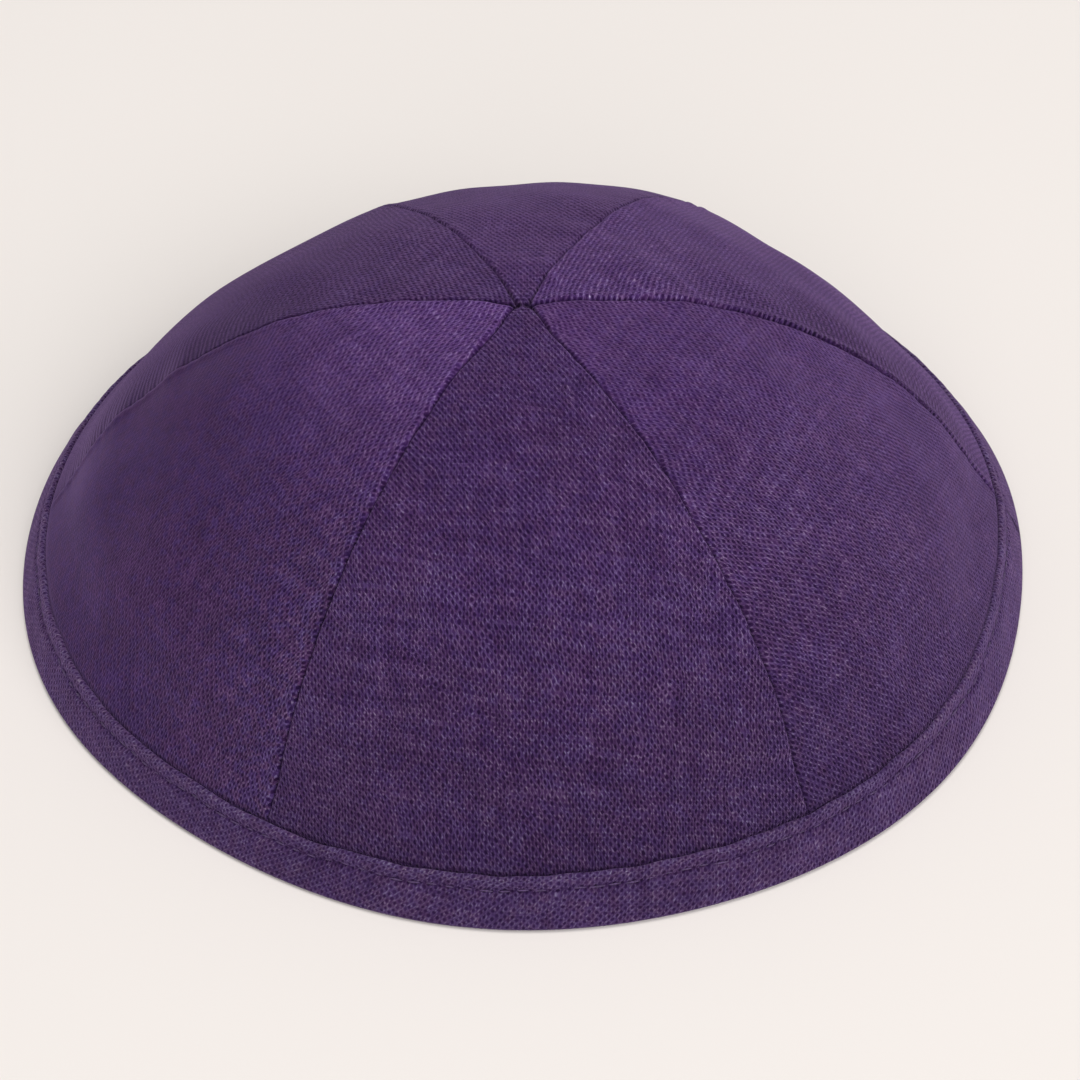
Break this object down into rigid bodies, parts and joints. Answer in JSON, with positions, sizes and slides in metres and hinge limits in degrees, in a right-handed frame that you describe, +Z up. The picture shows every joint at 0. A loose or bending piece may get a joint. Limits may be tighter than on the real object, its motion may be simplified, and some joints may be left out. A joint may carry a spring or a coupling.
{
  "type": "kippah",
  "caption": "Linen skullcap sewn from tapering panels that meet at the top, with a folded and stitched band round its open rim; it stands on the rim.",
  "frame": {"origin": "middle of the box's underside, on the surface that the rim stands on, under the middle of the opening", "axes": "+Z up from the opening to the top of the cap; -Y towards the front of the cap as pictured; +X towards its right side as pictured"},
  "size_m": [0.18, 0.1802, 0.0614],
  "materials": {
    "panel_linen": "matt plain-woven linen, deep purple, with slubs and a faint fuzz",
    "band_linen": "matt plain-woven linen, deep purple, folded and stitched in the same thread"
  },
  "bodies": {
    "root": {"panel_front": "panel_linen", "panel_front_right": "panel_linen", "panel_back_right": "panel_linen", "panel_back": "panel_linen", "panel_back_left": "panel_linen", "panel_front_left": "panel_linen", "rim_band": "band_linen"}
  },
  "joints": []
}
